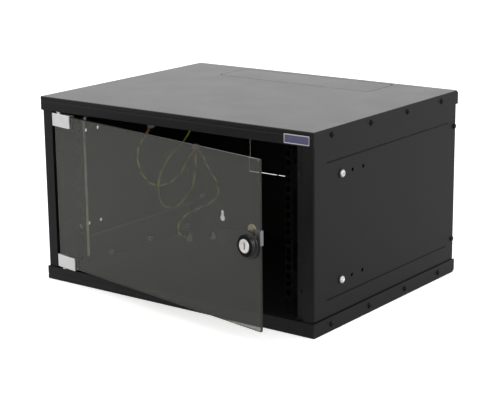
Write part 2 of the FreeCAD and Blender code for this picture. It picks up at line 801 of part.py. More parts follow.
save("door_glass", open_door(door_glass()))
save("upper_hinge_clip", open_door(hinge_clip()))
save("lower_hinge_clip", open_door(mirror_z(hinge_clip())))
save("hinge_clip_pads", *[open_door(p) for pad in clip_pads() for p in (pad, mirror_z(pad))])
save("hinge_clip_screws", *[open_door(p) for screw in clip_screws() for p in (screw, mirror_z(screw))])
save("upper_pivot_pin", open_door(pivot_pin()))
save("lower_pivot_pin", open_door(mirror_z(pivot_pin())))

save("lock_body", open_door(lock_body()))
save("lock_gasket", open_door(ring(out_of_door(0), Y_AXIS * -1, lock_base_r, lock_shank_r + 0.1,
                                   lock_gasket_h)))
save("lock_washer", open_door(ring(out_of_door(-glass), Y_AXIS, lock_washer_r, lock_shank_r + 0.1,
                                   lock_washer_h)))
save("lock_nut", open_door(hexagon(out_of_door(nut_seat), Y_AXIS, lock_nut_flats, lock_nut_h,
                                   lock_shank_r + 0.05)))
save("lock_edge_bracket", open_door(edge_bracket()))
save("lock_bracket_rivet", open_door(bracket_rivet()))
save("lock_barrel", open_door(lock_barrel()))
save("lock_cam", open_door(lock_cam()))
save("lock_cam_screw", open_door(cam_screw()))

studs = [stud(hub, X_AXIS), stud(panel_seat, X_AXIS), stud(cover_seat, down),
         stud(tray_seat, Z_AXIS), stud(spare_seat, Z_AXIS)]
save("earth_studs", *studs)
washers = []
nuts = []
for seat, away, eyes in ((hub, X_AXIS, 3), (panel_seat, X_AXIS, 1), (cover_seat, down, 1),
                         (tray_seat, Z_AXIS, 1), (spare_seat, Z_AXIS, 0)):
    top = washer_h + eyes * terminal_sheet
    washers.append(ring(seat, away, washer_r, m6_r + 0.1, washer_h))
    if eyes:
        washers.append(ring(seat + away * top, away, washer_r, m6_r + 0.1, washer_h))
        top = top + washer_h
    nuts.append(hexagon(seat + away * top, away, m6_nut_flats, m6_nut_h, m6_r + 0.05))
save("earth_washers", *washers)
save("earth_nuts", *nuts)

for name, ends in lead_ends.items():
    save(name + "_terminals", *[terminal(*end) for end in ends])
    between = [V(hub.x + x, hub.y + y, z) for x, y, z in lead_routes[name]]
    points = [lead_end(*ends[0])] + between + [lead_end(*ends[1])]
    tube, length, radii = lead(points)
    expected = math.pi * lead_r ** 2 * length
    print(name, "length %.0f mm, volume ratio %.4f, radii" % (length, tube.Volume / expected),
          " ".join("%.0f" % r for r in radii))
    save(name, tube)
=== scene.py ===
import json
import math
import random

import bmesh
import bpy
from mathutils import Matrix, Vector


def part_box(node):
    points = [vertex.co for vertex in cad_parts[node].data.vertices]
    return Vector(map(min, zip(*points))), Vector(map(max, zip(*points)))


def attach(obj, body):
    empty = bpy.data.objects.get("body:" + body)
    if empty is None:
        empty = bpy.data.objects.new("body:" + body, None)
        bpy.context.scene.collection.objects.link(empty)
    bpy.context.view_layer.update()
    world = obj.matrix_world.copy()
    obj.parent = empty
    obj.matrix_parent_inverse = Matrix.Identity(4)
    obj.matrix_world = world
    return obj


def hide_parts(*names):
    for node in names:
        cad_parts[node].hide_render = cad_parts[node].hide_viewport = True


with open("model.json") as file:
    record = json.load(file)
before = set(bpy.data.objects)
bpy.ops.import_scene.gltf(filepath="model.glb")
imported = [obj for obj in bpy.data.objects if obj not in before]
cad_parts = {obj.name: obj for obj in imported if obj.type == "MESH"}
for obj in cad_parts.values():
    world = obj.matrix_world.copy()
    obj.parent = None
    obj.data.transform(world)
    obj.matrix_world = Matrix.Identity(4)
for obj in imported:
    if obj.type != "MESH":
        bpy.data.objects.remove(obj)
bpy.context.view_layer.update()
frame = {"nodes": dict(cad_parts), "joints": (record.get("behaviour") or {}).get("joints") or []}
node = frame["nodes"]

# ------------------------------------------------------------------ studio
# A plain pale sweep under an even white sky that is brighter behind the cabinet, and three weak soft
# lights that give the small parts their glints and reach the leads inside. The camera stands off the
# front right corner.
camera_place = Vector((1.5949, -2.1404, 0.8177))
camera_azimuth = math.radians(36.741)
camera_elevation = math.radians(14.457)
camera_roll = math.radians(-0.608)
camera_lens = 106.73

back = Vector((
    math.sin(camera_azimuth) * math.cos(camera_elevation),
    -math.cos(camera_azimuth) * math.cos(camera_elevation),
    math.sin(camera_elevation),
))
level_right = back.cross(Vector((0, 0, -1))).normalized()
level_up = back.cross(level_right)
right = level_right * math.cos(camera_roll) + level_up * math.sin(camera_roll)
up = level_up * math.cos(camera_roll) - level_right * math.sin(camera_roll)

camera = bpy.data.objects.new("camera", bpy.data.cameras.new("camera"))
bpy.context.scene.collection.objects.link(camera)
camera.data.sensor_width = 36
camera.data.lens = camera_lens
camera.data.clip_start = 0.05
camera.matrix_world = Matrix((right, up, back)).transposed().to_4x4()
camera.location = camera_place
bpy.context.scene.camera = camera
bpy.context.scene.view_settings.view_transform = "Standard"


def put(tree, value, socket):
    """Link an output to a socket, or set the socket to a plain value."""
    if isinstance(value, bpy.types.NodeSocket):
        tree.links.new(value, socket)
    else:
        socket.default_value = value


def fill(tree, made, **values):
    """Put values to the named inputs of a node; the names take _ for a space."""
    for name, value in values.items():
        put(tree, value, made.inputs[name.replace("_", " ")])
    return made


def add(tree, kind, **values):
    return fill(tree, tree.nodes.new("ShaderNode" + kind), **values)


def sums(tree, operation, *terms):
    """The result of a Math node, whose terms are outputs or numbers."""
    made = tree.nodes.new("ShaderNodeMath")
    made.operation = operation
    for term, socket in zip(terms, made.inputs):
        put(tree, term, socket)
    return made.outputs[0]


def times(tree, product, *factors):
    for factor in factors:
        product = sums(tree, "MULTIPLY", product, factor)
    return product


def along(tree, vector, way):
    """How far a vector points along a way."""
    made = tree.nodes.new("ShaderNodeVectorMath")
    made.operation = "DOT_PRODUCT"
    put(tree, vector, made.inputs[0])
    put(tree, way, made.inputs[1])
    return made.outputs["Value"]


def spread(tree, value, low, high, to_low=0.0, to_high=1.0):
    """Stretch a value from one range onto another, and hold it there."""
    made = add(tree, "MapRange", Value=value)
    for number, socket in zip((low, high, to_low, to_high), list(made.inputs)[1:5]):
        socket.default_value = number
    return made.outputs["Result"]


def choose(tree, factor, first, second, output="Material Output"):
    """Show the first shader where the factor is 0 and the second where it is 1."""
    pick = tree.nodes.new("ShaderNodeMixShader")
    put(tree, factor, pick.inputs[0])
    put(tree, first.outputs[0], pick.inputs[1])
    put(tree, second.outputs[0], pick.inputs[2])
    put(tree, pick.outputs[0], tree.nodes[output].inputs["Surface"])


def soft_light(name, place, size, power, look_at):
    light = bpy.data.objects.new(name, bpy.data.lights.new(name, "AREA"))
    bpy.context.scene.collection.objects.link(light)
    light.data.shape = "DISK"
    light.data.size = size
    light.data.energy = power
    light.location = place
    light.rotation_mode = "QUATERNION"
    light.rotation_quaternion = (Vector(look_at) - Vector(place)).to_track_quat("-Z", "Y")


mirror_share = 0.1
sky_level = 1.0
backdrop_level = 0.84          # on top of the sky, at the middle of the backdrop
backdrop_way = (-0.57, 0.78, 0.26)
backdrop_edge = 0.55           # how far along that way the backdrop starts
white = (1, 1, 1, 1)


def kept_in_mirrors(tree, ray):
    """How much of the studio's light a ray brings: all of it, but little where the pane mirrors it."""
    in_mirror = times(tree, ray["Is Singular Ray"], ray["Is Reflection Ray"])
    return sums(tree, "MULTIPLY_ADD", in_mirror, mirror_share - 1, 1.0)


sky = bpy.data.worlds.new("sky")
sky.use_nodes = True
bpy.context.scene.world = sky
tree = sky.node_tree
ray = add(tree, "LightPath").outputs
toward = along(tree, add(tree, "TexCoord").outputs["Generated"], backdrop_way)
glow = spread(tree, toward, backdrop_edge, 1.0, sky_level, sky_level + backdrop_level)
glow = times(tree, glow, kept_in_mirrors(tree, ray))
lit = fill(tree, tree.nodes["Background"], Color=white, Strength=glow)
seen = add(tree, "Background", Color=white, Strength=1.0)
choose(tree, ray["Is Camera Ray"], lit, seen, "World Output")

soft_light("left_light", (-1.6, -1.7, 1.5), 0.9, 1.2, (0, 0, 0.15))
soft_light("right_light", (2.1, -0.6, 1.4), 0.7, 5, (0.3, 0, 0.15))
soft_light("front_light", (1.4, -2.2, 1.0), 0.5, 9, (-0.2, 0.1, 0.15))

floor_half = 12
floor_mesh = bmesh.new()
bmesh.ops.create_grid(floor_mesh, x_segments=1, y_segments=1, size=floor_half)
floor = bpy.data.objects.new("floor", bpy.data.meshes.new("floor"))
floor_mesh.to_mesh(floor.data)
floor_mesh.free()
bpy.context.scene.collection.objects.link(floor)


def material(name):
    """A new material, its tree and its Principled BSDF."""
    made = bpy.data.materials.new(name)
    made.use_nodes = True
    return made, made.node_tree, made.node_tree.nodes["Principled BSDF"]


def object_place(tree):
    """The x, y and z of a spot on the object."""
    return add(tree, "SeparateXYZ", Vector=add(tree, "TexCoord").outputs["Object"]).outputs


# White paper. It glows a little to the eye, so that only the closest shadow under the cabinet shows,
# and throws back less light than it shows, least from in front of the cabinet.
paper_white = (0.95, 0.95, 0.95, 1)
paper_glow = 0.42
paper_dim = (0.24, 0.24, 0.24, 1)
bounce_in_depth = (-1.2, 0.6, 0.22, 0.70)       # from one y to another, and the light at both
bounce_across = (-1.0, 0.1, 1.35, 0.6)          # from one x to another, and the light at both
shown_through_glass = 0.3                       # share of the paper as the eye sees it

paper, tree, bsdf = material("paper")
fill(tree, bsdf, Base_Color=paper_white, Roughness=1.0, Specular_IOR_Level=0.0, Emission_Color=white,
     Emission_Strength=paper_glow)
x, y, z = object_place(tree)
ray = add(tree, "LightPath").outputs
bounced = times(tree, spread(tree, y, *bounce_in_depth), spread(tree, x, *bounce_across))
bounced = times(tree, bounced, kept_in_mirrors(tree, ray))
dim = add(tree, "BsdfDiffuse", Color=paper_dim)
bounce = add(tree, "Emission", Color=white, Strength=bounced)
both = tree.nodes.new("ShaderNodeAddShader")
put(tree, dim.outputs[0], both.inputs[0])
put(tree, bounce.outputs[0], both.inputs[1])
to_the_eye = sums(tree, "MULTIPLY_ADD", ray["Is Transmission Ray"], shown_through_glass, ray["Is Camera Ray"])
choose(tree, to_the_eye, both, bsdf)
floor.data.materials.append(paper)

# ------------------------------------------------------------------ ring terminals
# Each lead ends in two crimped ring terminals: a tinned copper eye under a nut, and an orange plastic
# sleeve pressed round the crimp, whose colour is on the flats of the tongue too. The wire goes into
# the mouth of the sleeve.


def blend_colours(tree, mask, first, second):
    """Mix two colours, each an output or an RGB triple, by a mask."""
    made = tree.nodes.new("ShaderNodeMix")
    made.data_type = "RGBA"
    put(tree, mask, made.inputs["Factor"])
    for colour, end in ((first, "A"), (second, "B")):
        put(tree, (*colour, 1) if isinstance(colour, tuple) else colour, made.inputs[end])
    return made.outputs["Result"]


def effect(name, inputs, outputs):
    """An empty node group with its sockets. Returns the group, its inputs and its outputs."""
    group = bpy.data.node_groups.new(name, "ShaderNodeTree")
    for label, value in inputs.items():
        socket = group.interface.new_socket(label, in_out="INPUT", socket_type="NodeSocketFloat")
        socket.default_value = value
    for label, kind in outputs.items():
        group.interface.new_socket(label, in_out="OUTPUT", socket_type="NodeSocket" + kind)
    return group, group.nodes.new("NodeGroupInput").outputs, group.nodes.new("NodeGroupOutput").inputs


def lay_effect(tree, group, **values):
    made = tree.nodes.new("ShaderNodeGroup")
    made.node_tree = group
    return fill(tree, made, **values).outputs


def noise(tree, **values):
    """Noise that is laid on the object."""
    spot = add(tree, "TexCoord").outputs["Object"]
    return add(tree, "TexNoise", Vector=spot, **values).outputs["Fac"]


# Fine grain of a coated, plated or moulded surface, and the broad soft patches that come with it.
tree, given, out = effect(
    "fine_grain", {"Grains": 2400, "Patches": 22}, {"Height": "Float", "Patch": "Float"})
fine_grain = tree
spot = add(tree, "TexCoord").outputs["Object"]
pebbles = add(tree, "TexVoronoi", Vector=spot, Scale=given["Grains"])
pebbles.feature = "SMOOTH_F1"
specks = noise(tree, Scale=times(tree, given["Grains"], 0.45), Detail=3, Roughness=0.7)
cloud = noise(tree, Scale=given["Patches"], Detail=5, Roughness=0.55)
put(tree, sums(tree, "MULTIPLY_ADD", specks, 0.7, pebbles.outputs["Distance"]), out["Height"])
put(tree, spread(tree, cloud, 0.3, 0.7), out["Patch"])

# Edges that hands and tools have rubbed, and the surface normal rounded over them.
tree, given, out = effect("rubbed_edges", {"Radius": 0.0005}, {"Mask": "Float", "Rounded": "Vector"})
rubbed_edges = tree
rounded = add(tree, "Bevel", Radius=given["Radius"])
rounded.samples = 4
likeness = along(tree, rounded.outputs[0], add(tree, "NewGeometry").outputs["True Normal"])
breaks = noise(tree, Scale=90, Detail=5, Roughness=0.65)
mask = times(tree, spread(tree, likeness, 0.995, 0.85), spread(tree, breaks, 0.38, 0.62))
put(tree, mask, out["Mask"])
put(tree, rounded.outputs[0], out["Rounded"])

# Dust that settles on faces that look up, thicker in loose drifts.
tree, given, out = effect("settled_dust", {"Amount": 0.2}, {"Mask": "Float"})
settled_dust = tree
drifts = noise(tree, Scale=7, Detail=7, Roughness=0.62)
motes = noise(tree, Scale=1400, Detail=2, Roughness=0.6)
normal = add(tree, "SeparateXYZ", Vector=add(tree, "NewGeometry").outputs["Normal"])
drift = times(tree, spread(tree, drifts, 0.3, 0.75), spread(tree, motes, 0.35, 0.7))
upward = spread(tree, normal.outputs["Z"], 0.5, 0.95)
put(tree, times(tree, drift, upward, given["Amount"]), out["Mask"])

# Faint marks that fingers leave on bright metal.
tree, given, out = effect("finger_marks", {"Amount": 0.5}, {"Mask": "Float"})
finger_marks = tree
smears = noise(tree, Scale=24, Detail=4, Roughness=0.5, Distortion=1.2)
wipes = noise(tree, Scale=6, Detail=2, Roughness=0.5)
smear = times(tree, spread(tree, smears, 0.56, 0.8), spread(tree, wipes, 0.35, 0.6, 0.2, 1.0))
put(tree, times(tree, smear, given["Amount"]), out["Mask"])

dust_grey = (0.24, 0.23, 0.21)
dust_rough = 0.4                # that full dust adds to the roughness
mark_rough = 0.25               # that a full finger mark adds


def finish(name, tones, rough, metal=0.0, gloss=0.5, grains=2400, patches=22, relief=0.00004,
           edge=(0.0004, None), dust=0.0, marks=0.0):
    """A solid finish. tones are its two colours in soft patches and rough its lowest and highest
    roughness. edge is the width of the rubbed edge and the colour that shows there."""
    made, tree, bsdf = material(name)
    edge_width, edge_colour = edge
    grain = lay_effect(tree, fine_grain, Grains=grains, Patches=patches)
    worn = lay_effect(tree, rubbed_edges, Radius=edge_width)
    colour = blend_colours(tree, grain["Patch"], *tones)
    roughness = spread(tree, grain["Patch"], 0.0, 1.0, *rough)
    if edge_colour:
        colour = blend_colours(tree, worn["Mask"], colour, edge_colour)
    if marks:
        smeared = lay_effect(tree, finger_marks, Amount=marks)["Mask"]
        roughness = sums(tree, "MULTIPLY_ADD", smeared, mark_rough, roughness)
    if dust:
        dusty = lay_effect(tree, settled_dust, Amount=dust)["Mask"]
        colour = blend_colours(tree, dusty, colour, dust_grey)
        roughness = sums(tree, "MULTIPLY_ADD", dusty, dust_rough, roughness)
    bumps = add(tree, "Bump", Strength=1.0, Distance=relief, Height=grain["Height"], Normal=worn["Rounded"])
    fill(tree, bsdf, Metallic=metal, Specular_IOR_Level=gloss, Base_Color=colour, Roughness=roughness,
         Normal=bumps.outputs[0])
    return made


def coat(finished, *names):
    """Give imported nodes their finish."""
    for name in names:
        node[name].data.materials.clear()
        node[name].data.materials.append(finished)


def turned(outline, steps):
    """A round solid: its outline, as radius and height, spun about the z axis. An outline with both
    ends off the axis is closed on itself."""
    shape = bmesh.new()
    corners = [shape.verts.new((radius, 0, height)) for radius, height in outline]
    pairs = list(zip(corners, corners[1:]))
    if outline[0][0] > 0 and outline[-1][0] > 0:
        pairs.append((corners[-1], corners[0]))
    lines = [shape.edges.new(pair) for pair in pairs]
    bmesh.ops.spin(shape, geom=corners + lines, cent=(0, 0, 0), axis=(0, 0, 1), angle=2 * math.pi,
                   steps=steps, use_merge=True)
    bmesh.ops.remove_doubles(shape, verts=shape.verts, dist=1e-7)
    return shape


def each_once(things):
    """The things in the order they first come."""
    return list(dict.fromkeys(things))


def block(shape, low, high):
    """Add a box between two corners. Returns its faces."""
    low, high = Vector(low), Vector(high)
    made = bmesh.ops.create_cube(shape, size=1)["verts"]
    bmesh.ops.scale(shape, vec=high - low, verts=made)
    bmesh.ops.translate(shape, vec=(high + low) / 2, verts=made)
    return each_once(face for corner in made for face in corner.link_faces)


def facing(seat, out, turn):
    """The place of a part that stands on its seat with z along out, turned about it."""
    stand = Vector(out).to_track_quat("Z", "Y").to_matrix().to_4x4()
    return Matrix.Translation(seat) @ stand @ Matrix.Rotation(turn, 4, "Z")


def set_at(shape, places):
    """One mesh with a copy of the shape at each place."""
    pattern = bpy.data.meshes.new("pattern")
    shape.to_mesh(pattern)
    shape.free()
    row = bmesh.new()
    for place in places:
        count = len(row.verts)
        row.from_mesh(pattern)
        row.verts.ensure_lookup_table()
        bmesh.ops.transform(row, matrix=place, verts=row.verts[count:])
    bpy.data.meshes.remove(pattern)
    return row


def piece(name, shape, body, materials, replaced=()):
    """Finish a shape as a named piece that rides on a body."""
    bmesh.ops.recalc_face_normals(shape, faces=shape.faces)
    for face in shape.faces:
        face.smooth = True
    made = bpy.data.objects.new(name, bpy.data.meshes.new(name))
    shape.to_mesh(made.data)
    shape.free()
    made.data.set_sharp_from_angle(angle=math.radians(32))
    for finished in materials:
        made.data.materials.append(finished)
    bpy.context.scene.collection.objects.link(made)
    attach(made, body)
    if replaced:
        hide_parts(*replaced)
    return made


eye_r = 0.0055
eye_hole_r = 0.0031
eye_thick = 0.0008
eye_low = 0.0001                # its lower face, just clear of what it lies on
eye_break = 0.0002              # rounding of its rim
tongue_root = eye_r - 0.0009
tongue_half = 0.0022
tongue_break = 0.00015
sleeve_start = 0.0095
sleeve_length = 0.0095
sleeve_r = 0.0029
into_sleeve = 0.001             # of the tongue

tin = finish("tinned_copper", ((0.78, 0.76, 0.72), (0.90, 0.88, 0.85)), (0.22, 0.38), metal=0.6,
             grains=5000, patches=300, relief=0.00002, edge=(0.0002, (0.72, 0.45, 0.3)))
sleeve_plastic = finish("orange_sleeve", ((0.60, 0.28, 0.10), (0.72, 0.38, 0.16)), (0.36, 0.5),
                        grains=4000, patches=150, relief=0.00002)


def ring_terminal():
    """An eye with its stud along z, and its tongue and sleeve along x. The sleeve and the flats of the
    tongue have material 1."""
    shape = turned([
        (eye_hole_r, eye_low), (eye_hole_r, eye_thick), (eye_r - eye_break, eye_thick),
        (eye_r, eye_thick - eye_break), (eye_r, eye_break), (eye_r - eye_break, eye_low),
    ], steps=40)
    tongue = block(shape, (tongue_root, -tongue_half, eye_low),
                   (sleeve_start + into_sleeve, tongue_half, eye_thick))
    for face in tongue:
        face.material_index = 1
    edges = each_once(edge for face in tongue for edge in face.edges)
    rounded = bmesh.ops.bevel(shape, geom=edges, offset=tongue_break, segments=2, profile=0.5,
                              affect="EDGES", material=-1)
    for face in rounded["faces"]:
        face.material_index = 0
    sleeve = turned([
        (0.0019, 0.0), (0.0025, -0.0001), (sleeve_r, 0.0006), (sleeve_r, 0.0024), (0.00262, 0.0032),
        (0.0026, 0.0044), (0.00282, 0.0052), (sleeve_r, 0.0066), (sleeve_r, 0.0089), (0.0027, 0.0094),
        (0.00235, sleeve_length), (0.0021, 0.0091), (0.0020, 0.005),
    ], steps=28)
    lying = Matrix.Translation((sleeve_start, 0, sleeve_r)) @ Matrix.Rotation(math.radians(90), 4, "Y")
    bmesh.ops.transform(sleeve, verts=sleeve.verts, matrix=lying)
    for face in sleeve.faces:
        face.material_index = 1
    pressed_on = bpy.data.meshes.new("sleeve")
    sleeve.to_mesh(pressed_on)
    sleeve.free()
    shape.from_mesh(pressed_on)
    bpy.data.meshes.remove(pressed_on)
    return shape


# stud, way off the sheet, way towards the lead and eyes already on the stud, at both ends of each lead
main_stud = Vector((-0.2955, 0.203, 0.175))
panel_stud = Vector((-0.297, 0.062, 0.243))
cover_stud = Vector((-0.262, 0.118, 0.3445))
tray_stud = Vector((-0.241, 0.117, 0.0015))
spare_stud = Vector((-0.210, 0.154, 0.0015))
washer_thick = 0.0012
terminals = {
    "side_panel_lead": ((main_stud, (1, 0, 0), (0, -0.77, -0.64), 0),
                        (panel_stud, (1, 0, 0), (0, -0.69, -0.72), 0)),
    "top_cover_lead": ((main_stud, (1, 0, 0), (0, -0.05, -1), 1),
                       (cover_stud, (0, 0, -1), (0, 1, 0), 0)),
    "bottom_tray_lead": ((main_stud, (1, 0, 0), (0, 0.69, -0.72), 2),
                         (tray_stud, (0, 0, 1), (-0.97, 0.24, 0), 0)),
}

for name, ends in terminals.items():
    places = []
    for stud, off, way, level in ends:
        off = Vector(off)
        way = Vector(way).normalized()
        place = Matrix((way, off.cross(way), off)).transposed().to_4x4()
        place.translation = stud + off * (washer_thick + level * eye_thick)
        places.append(place)
    piece(
        name.replace("lead", "ring_terminals"), set_at(ring_terminal(), places), "carcass",
        (tin, sleeve_plastic), [name + "_terminals"],
    )

# ------------------------------------------------------------------ earth leads
# Three stranded copper leads in green and yellow striped insulation, 4 mm over all. They bond the top
# cover, the bottom tray and the left side panel to the main stud, and hang in loose curves between
# their terminals.
lead_diameter = 0.004
lead_routes = {
    "side_panel_lead": (0.277, [
        (-0.2914, 0.1884, 0.1629), (-0.2914, 0.173, 0.150), (-0.288, 0.149, 0.130),
        (-0.287, 0.118, 0.1185), (-0.287, 0.086, 0.1165), (-0.287, 0.058, 0.124),
        (-0.2875, 0.036, 0.141), (-0.288, 0.020, 0.165), (-0.289, 0.017, 0.190),
        (-0.291, 0.025, 0.2085), (-0.2929, 0.0384, 0.2184), (-0.2929, 0.04885, 0.2293),
    ]),
    "top_cover_lead": (0.513, [
        (-0.2906, 0.20205, 0.1560), (-0.2906, 0.201, 0.138), (-0.286, 0.193, 0.117),
        (-0.280, 0.176, 0.097), (-0.277, 0.152, 0.080), (-0.275, 0.124, 0.0705),
        (-0.275, 0.096, 0.069), (-0.275, 0.073, 0.080), (-0.275, 0.0615, 0.103),
        (-0.2755, 0.0625, 0.131), (-0.275, 0.076, 0.157), (-0.274, 0.099, 0.178),
        (-0.274, 0.128, 0.194), (-0.272, 0.155, 0.212), (-0.269, 0.171, 0.240),
        (-0.266, 0.176, 0.270), (-0.264, 0.1765, 0.300), (-0.2625, 0.170, 0.326),
        (-0.262, 0.153, 0.3404), (-0.262, 0.137, 0.3404),
    ]),
    "bottom_tray_lead": (0.250, [
        (-0.2898, 0.21615, 0.1613), (-0.2898, 0.2258, 0.1512), (-0.283, 0.226, 0.136),
        (-0.268, 0.225, 0.119), (-0.251, 0.223, 0.101), (-0.240, 0.215, 0.081),
        (-0.243, 0.198, 0.066), (-0.256, 0.177, 0.0575), (-0.270, 0.156, 0.0495),
        (-0.281, 0.140, 0.0375), (-0.284, 0.129, 0.0185), (-0.275, 0.1254, 0.0056),
        (-0.25944, 0.12156, 0.0056),
    ]),
}
green = (0.16, 0.32, 0.05)
yellow = (0.76, 0.74, 0.10)
stripe_share = 0.42             # of the way round, for the green
stripe_turns = 9.0              # from end to end
stripe_blur = 0.02
lead_grime = (0.16, 0.15, 0.07)
most_grime = 0.35

insulation, tree, bsdf = material("striped_insulation")
spot = add(tree, "SeparateXYZ", Vector=add(tree, "TexCoord").outputs["UV"]).outputs
turn = sums(tree, "FRACT", sums(tree, "MULTIPLY_ADD", spot["X"], stripe_turns, spot["Y"]))
edge = sums(tree, "ABSOLUTE", sums(tree, "SUBTRACT", turn, 0.5))
stripe = spread(tree, edge, stripe_share / 2 - stripe_blur, stripe_share / 2 + stripe_blur)
grime = noise(tree, Scale=160, Detail=4, Roughness=0.6)
striped = blend_colours(tree, stripe, green, yellow)
dulled = blend_colours(tree, spread(tree, grime, 0.45, 0.9, 0.0, most_grime), striped, lead_grime)
wrinkle = add(tree, "Bump", Strength=0.25, Distance=0.0002, Height=grime)
fill(tree, bsdf, Base_Color=dulled, Roughness=spread(tree, grime, 0.3, 0.7, 0.34, 0.5),
     Normal=wrinkle.outputs[0])

for name, (length, points) in lead_routes.items():
    line = bpy.data.curves.new(name, "CURVE")
    line.dimensions = "3D"
    spline = line.splines.new("NURBS")
    spline.points.add(len(points) - 1)
    for point, spot in zip(spline.points, points):
        point.co = (*spot, 1)
    spline.order_u = 3
    spline.use_endpoint_u = True
    line.resolution_u = 8
    line.bevel_depth = lead_diameter / 2
    line.bevel_resolution = 3
    line.use_fill_caps = True
    lead = bpy.data.objects.new(name.replace("lead", "earth_wire"), line)
    bpy.context.scene.collection.objects.link(lead)
    line.materials.append(insulation)
    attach(lead, "carcass")
    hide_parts(name)

# ------------------------------------------------------------------ folded sheets
# Top cover, bottom tray, side panels and rear panel: 1.5 mm steel sheet, punched and folded, then
# coated in a fine-textured black powder that is baked on. Screws hold them together.
powder = finish("powder_coat", ((0.0032, 0.0033, 0.0037), (0.0042, 0.0043, 0.0048)), (0.39, 0.42),
                gloss=0.27, grains=1500, patches=14, relief=0.00006,
                edge=(0.0007, (0.011, 0.011, 0.012)), dust=0.03)

# Painted shadow: the side panels' pressed lines and the joints above the trays' flanges are black.
# Inside, a painted highlight makes the ridges of the same lines pale.
line_heights = (0.0565, 0.2895)
line_half = 0.0014
line_soft = 0.0004
line_ends = (-0.195, 0.201)
line_shade = 0.9
flange_high = 0.0251
joint_high = 0.0282
joint_soft = 0.0006
outside_x = 0.2975              # farther out lies the outer face of a side panel
ridge_x = 0.2970                # crest of a line's ridge, on the inner face
ridge_near = 0.0003
shadow_black = (0.002, 0.002, 0.0022)
# the colour of the painted highlight on the ridges
ridge_highlight_grey = (0.11, 0.11, 0.105)


def coat_colour(finished):
    """The tree and Principled BSDF of a finish, and the output that colours it."""
    tree = finished.node_tree
    bsdf = tree.nodes["Principled BSDF"]
    return tree, bsdf, bsdf.inputs["Base Color"].links[0].from_socket


tree, bsdf, coated = coat_colour(powder)
x, y, z = object_place(tree)
off_middle = sums(tree, "ABSOLUTE", x)
on_lines = sums(tree, "MAXIMUM", *(
    spread(tree, sums(tree, "ABSOLUTE", sums(tree, "SUBTRACT", z, height)),
           line_half, line_half + line_soft, 1.0, 0.0)
    for height in line_heights
))
between_ends = times(tree, sums(tree, "GREATER_THAN", y, line_ends[0]),
                     sums(tree, "LESS_THAN", y, line_ends[1]))
above_flange = times(tree, sums(tree, "GREATER_THAN", z, flange_high),
                     spread(tree, z, joint_high - joint_soft, joint_high + joint_soft, 1.0, 0.0))
pressed = times(tree, on_lines, between_ends)
shaded = sums(tree, "MAXIMUM", times(tree, pressed, line_shade), above_flange)
# painted shadow: black colour, made metallic, on the pressed lines and joints of the outer faces
painted_shadow = times(tree, sums(tree, "GREATER_THAN", off_middle, outside_x), shaded)
# painted highlight: pale colour along the ridges on the inner faces
painted_ridge_highlight = times(tree, pressed, sums(tree, "COMPARE", off_middle, ridge_x, ridge_near))
shadowed = blend_colours(tree, painted_shadow, coated, shadow_black)
fill(tree, bsdf, Metallic=painted_shadow, Base_Color=blend_colours(tree, painted_ridge_highlight, shadowed, ridge_highlight_grey))
coat(powder, "top_cover", "bottom_tray", "left_side_panel", "right_side_panel", "rear_panel")

# ------------------------------------------------------------------ rack rails
# Two uprights of 2 mm steel with square holes, in a flat black coat. A painted highlight makes the
# two facing returns pale, broken up by noise.
rail_gap_half = 0.225
return_near = (0.0002, 0.0008)  # off the returns' faces, where the painted highlight starts to fade and ends
highlight_edge = -0.2035            # the painted highlight covers each return from here back
highlight_soft = 0.0005
highlight_in_front = 0.05           # share of that painted highlight in front of the edge
pale_highlight_colour = (0.66, 0.63, 0.55)

rail_coat = finish("flat_black_coat", ((0.0010, 0.0010, 0.0011), (0.0016, 0.0016, 0.0017)), (0.55, 0.66),
                   gloss=0.05, grains=1500, patches=14, relief=0.00006,
                   edge=(0.0006, (0.009, 0.009, 0.010)))
tree, bsdf, coated = coat_colour(rail_coat)
x, y, z = object_place(tree)
highlight_breakup = noise(tree, Scale=60, Detail=5, Roughness=0.6)
on_return = spread(tree, sums(tree, "ABSOLUTE", x), rail_gap_half + return_near[0],
                   rail_gap_half + return_near[1], 1.0, 0.0)
at_edge = spread(tree, y, highlight_edge - highlight_soft, highlight_edge + highlight_soft, highlight_in_front, 1.0)
# painted highlight: pale colour along the faces of the two returns
painted_return_highlight = times(tree, on_return, at_edge, spread(tree, highlight_breakup, 0.3, 0.6, 0.6, 1.0))
fill(tree, bsdf, Base_Color=blend_colours(tree, painted_return_highlight, coated, pale_highlight_colour))
coat(rail_coat, "left_rack_rail", "right_rack_rail")

# ------------------------------------------------------------------ badge plate
# A small bare plate on the front band, pressed from bright aluminium with a raised rim and a sunk
# field in matt violet-grey lacquer. It is stuck on with adhesive film.
badge_low = Vector((0.242, -0.235, 0.323))
badge_size = (0.050, 0.016)
badge_thick = 0.0009
badge_corner = 0.0014
badge_rim = 0.0013
badge_sink = 0.0004
badge_break = 0.0002            # rounding of the rim's edges
sharp = 0.9                     # angle between faces, in radians

bright_rim = finish("bright_aluminium", ((0.60, 0.60, 0.63), (0.72, 0.72, 0.75)), (0.26, 0.36), metal=1.0,
                    grains=4000, patches=60, relief=0.00001)
lacquer = finish("violet_grey_lacquer", ((0.068, 0.067, 0.136), (0.088, 0.086, 0.164)), (0.42, 0.55),
                 grains=3500, patches=120, relief=0.00002)


def on_top(spot):
    return spot.z > badge_thick * 0.99


